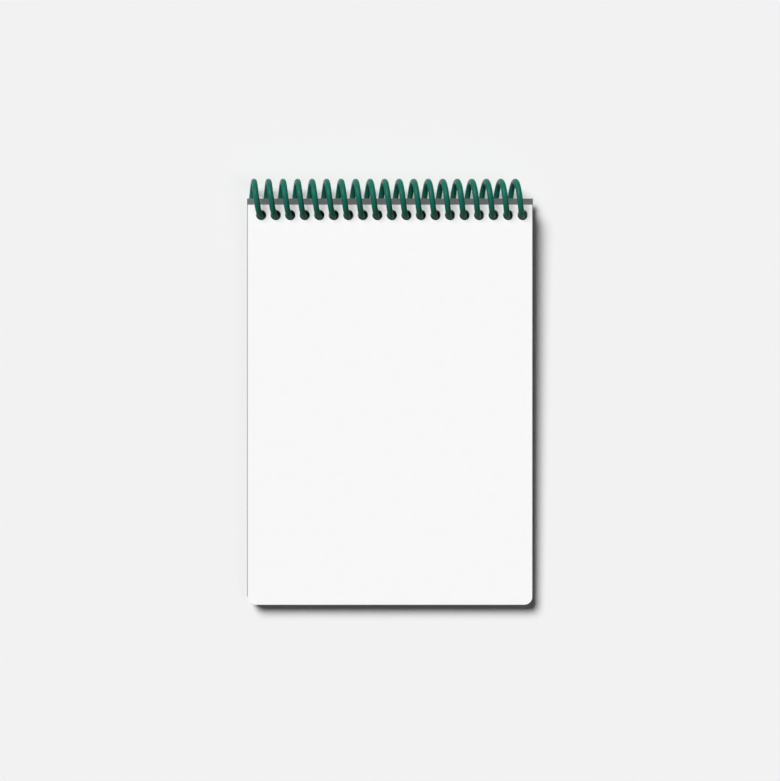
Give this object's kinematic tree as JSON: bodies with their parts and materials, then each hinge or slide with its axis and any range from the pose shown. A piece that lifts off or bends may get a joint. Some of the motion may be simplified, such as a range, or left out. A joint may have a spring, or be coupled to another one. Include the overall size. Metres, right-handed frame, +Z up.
{
  "type": "pocket notebook",
  "caption": "Pocket notebook bound at its head on a green plastic coil: stiff grey back board, white leaves and a plain white cover that turn over the coil.",
  "frame": {"origin": "on the table under the middle of the closed pad's bounding box", "axes": "+Y from the foot to the bound head, +Z up from the table, +X to the reader's right"},
  "size_m": [0.106, 0.1572, 0.015],
  "materials": {
    "coil": "gloss",
    "board": "matte",
    "cover": "satin",
    "leaf": "matte"
  },
  "bodies": {
    "pad": {"back_board": "board", "coil": "coil"},
    "lower_leaves": {"leaf_07": "leaf", "leaf_08": "leaf", "leaf_09": "leaf", "leaf_10": "leaf", "leaf_11": "leaf", "leaf_12": "leaf"},
    "lower_stubs": {"leaf_07_stub": "leaf", "leaf_08_stub": "leaf", "leaf_09_stub": "leaf", "leaf_10_stub": "leaf", "leaf_11_stub": "leaf", "leaf_12_stub": "leaf"},
    "upper_leaves": {"leaf_01": "leaf", "leaf_02": "leaf", "leaf_03": "leaf", "leaf_04": "leaf", "leaf_05": "leaf", "leaf_06": "leaf"},
    "upper_stubs": {"leaf_01_stub": "leaf", "leaf_02_stub": "leaf", "leaf_03_stub": "leaf", "leaf_04_stub": "leaf", "leaf_05_stub": "leaf", "leaf_06_stub": "leaf"},
    "cover": {"front_cover": "cover"},
    "cover_stub": {"front_cover_stub": "cover"}
  },
  "joints": [
    {"name": "lower_leaves_turn", "type": "hinge", "parent": "pad", "child": "lower_leaves", "pos_m": [0, 0.07109, 0.00749], "axis": [-1, 0, 0], "range_deg": [0, 180]},
    {"name": "lower_leaves_creep", "type": "slide", "parent": "lower_leaves", "child": "lower_stubs", "axis": [-1, 0, 0], "range_m": [0, 0.0027]},
    {"name": "upper_leaves_turn", "type": "hinge", "parent": "lower_stubs", "child": "upper_leaves", "pos_m": [0, 0.07109, 0.00749], "axis": [-1, 0, 0], "range_deg": [0, 180]},
    {"name": "upper_leaves_creep", "type": "slide", "parent": "upper_leaves", "child": "upper_stubs", "axis": [-1, 0, 0], "range_m": [0, 0.0027]},
    {"name": "cover_turn", "type": "hinge", "parent": "upper_stubs", "child": "cover", "pos_m": [0, 0.07109, 0.00749], "axis": [-1, 0, 0], "range_deg": [0, 180]},
    {"name": "cover_creep", "type": "slide", "parent": "cover", "child": "cover_stub", "axis": [-1, 0, 0], "range_m": [0, 0.0027]}
  ],
  "couplings": [
    {"joint": "lower_leaves_creep", "follows": "lower_leaves_turn", "m_per_rad": 0.00085148},
    {"joint": "upper_leaves_creep", "follows": "upper_leaves_turn", "m_per_rad": 0.00085148},
    {"joint": "cover_creep", "follows": "cover_turn", "m_per_rad": 0.00085148}
  ]
}
